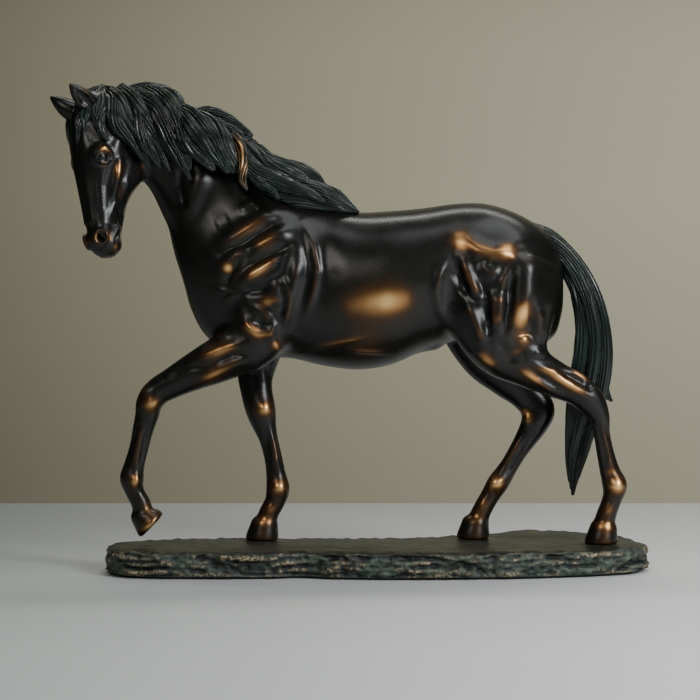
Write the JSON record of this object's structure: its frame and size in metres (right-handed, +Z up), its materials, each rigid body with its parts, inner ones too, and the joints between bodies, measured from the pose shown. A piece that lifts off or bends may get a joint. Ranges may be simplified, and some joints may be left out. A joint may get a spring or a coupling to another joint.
{
  "type": "horse statuette",
  "caption": "Cast bronze walking horse with flowing mane and tail, bolted to a long rock-like cast base with felt beneath.",
  "frame": {"origin": "on the felt's underside, below the middle of the horse's barrel", "axes": "+Z up; the horse faces -X; its left side is towards -Y"},
  "size_m": [0.4142, 0.1167, 0.3383],
  "materials": {
    "body_bronze": "near-black brown patina over bronze, waxed satin, rubbed back to copper on the high points",
    "hair_bronze": "dark blue-green patina over bronze, chased strands, satin",
    "base_bronze": "matt green-grey verdigris patina on a rough rock texture",
    "felt": "dark felt sheet",
    "steel": "zinc-plated steel"
  },
  "bodies": {
    "root": {"base_casting": "base_bronze", "base_felt": "felt", "trunk_casting": "body_bronze", "neck_casting": "body_bronze", "head_casting": "body_bronze", "left_foreleg": "body_bronze", "right_foreleg": "body_bronze", "left_hindleg": "body_bronze", "right_hindleg": "body_bronze", "forelock_casting": "hair_bronze", "mane_front_casting": "hair_bronze", "mane_middle_casting": "hair_bronze", "mane_crest_casting": "hair_bronze", "mane_rear_casting": "hair_bronze", "tail_casting": "hair_bronze", "right_foreleg_stud": "steel", "right_foreleg_washer": "steel", "right_foreleg_nut": "steel", "left_hindleg_stud": "steel", "left_hindleg_washer": "steel", "left_hindleg_nut": "steel", "right_hindleg_stud": "steel", "right_hindleg_washer": "steel", "right_hindleg_nut": "steel"}
  },
  "joints": []
}
